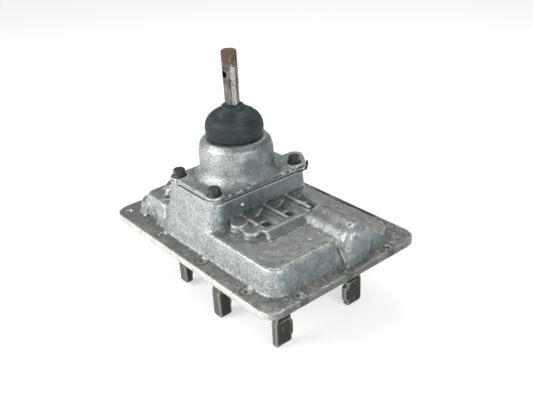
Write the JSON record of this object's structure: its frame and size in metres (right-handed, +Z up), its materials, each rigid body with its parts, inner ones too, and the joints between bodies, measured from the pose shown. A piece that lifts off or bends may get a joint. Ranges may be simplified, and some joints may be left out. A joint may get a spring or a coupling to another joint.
{
  "type": "transmission shift bar housing",
  "caption": "Cast top cover of a gearbox with a stub lever in a domed tower, shift bars, forks and detents.",
  "frame": {"origin": "centre of the flange's underside, the face that seats on the gearbox case", "axes": "+X along the shift bars towards the hump, +Z up out of the case along the lever, +Y to the back"},
  "size_m": [0.36, 0.264, 0.343],
  "materials": {
    "cast_aluminium": "rough casting",
    "gasket_paper": "dark fibre gasket",
    "bolt_steel": "dark oiled steel",
    "rod_steel": "worn steel with light rust",
    "boot_rubber": "matte slate rubber",
    "spring_steel": "drawn spring steel",
    "bar_steel": "ground steel",
    "fork_steel": "dark forged steel",
    "plug_steel": "plated steel"
  },
  "bodies": {
    "housing": {"shift_bar_housing": "cast_aluminium", "tower_gasket": "gasket_paper", "shift_tower": "cast_aluminium", "tower_bolts": "bolt_steel", "ball_spring_cup": "plug_steel", "ball_spring": "spring_steel", "spring_retainer": "plug_steel", "lever_boot": "boot_rubber", "detent_plugs": "plug_steel", "interlock_pins": "bar_steel", "interlock_plug": "plug_steel", "bar_bore_plugs": "plug_steel", "detent_spring_1": "spring_steel", "detent_spring_2": "spring_steel", "detent_spring_3": "spring_steel"},
    "pivot_pin": {"pivot_pin": "bar_steel"},
    "lever": {"stub_lever": "rod_steel"},
    "bar_1": {"shift_bar_1": "bar_steel", "shift_fork_1": "fork_steel", "shift_gate_1": "fork_steel", "lock_pins_1": "bolt_steel"},
    "ball_1": {"detent_ball_1": "bar_steel"},
    "bar_2": {"shift_bar_2": "bar_steel", "shift_fork_2": "fork_steel", "shift_gate_2": "fork_steel", "lock_pins_2": "bolt_steel", "interlock_cross_pin": "bar_steel"},
    "ball_2": {"detent_ball_2": "bar_steel"},
    "bar_3": {"shift_bar_3": "bar_steel", "shift_fork_3": "fork_steel", "shift_gate_3": "fork_steel", "lock_pins_3": "bolt_steel"},
    "ball_3": {"detent_ball_3": "bar_steel"}
  },
  "joints": [
    {"name": "lever_shift", "type": "hinge", "parent": "housing", "child": "pivot_pin", "pos_m": [-0.024, -0.012, 0.112], "axis": [0, -1, 0], "range_deg": [-10, 10], "deforming": ["lever_boot"]},
    {"name": "lever_select", "type": "hinge", "parent": "pivot_pin", "child": "lever", "pos_m": [-0.024, -0.012, 0.112], "axis": [1, 0, 0], "range_deg": [-11.13, 11.13]},
    {"name": "bar_1_slide", "type": "slide", "parent": "housing", "child": "bar_1", "axis": [1, 0, 0], "range_m": [-0.0099, 0.0099]},
    {"name": "bar_2_slide", "type": "slide", "parent": "housing", "child": "bar_2", "axis": [1, 0, 0], "range_m": [-0.0099, 0.0099]},
    {"name": "bar_3_slide", "type": "slide", "parent": "housing", "child": "bar_3", "axis": [1, 0, 0], "range_m": [-0.0099, 0.0099]},
    {"name": "ball_1_lift", "type": "slide", "parent": "housing", "child": "ball_1", "axis": [0, 0, 1], "range_m": [0, 0.0017], "stiffness_N_per_m": 200, "springref_m": 0.0017, "deforming": ["detent_spring_1"]},
    {"name": "ball_2_lift", "type": "slide", "parent": "housing", "child": "ball_2", "axis": [0, 0, 1], "range_m": [0, 0.0017], "stiffness_N_per_m": 200, "springref_m": 0.0017, "deforming": ["detent_spring_2"]},
    {"name": "ball_3_lift", "type": "slide", "parent": "housing", "child": "ball_3", "axis": [0, 0, 1], "range_m": [0, 0.0017], "stiffness_N_per_m": 200, "springref_m": 0.0017, "deforming": ["detent_spring_3"]}
  ],
  "couplings": [
    {"joint": "bar_2_slide", "follows": "lever_shift", "m_per_rad": 0.056711}
  ]
}
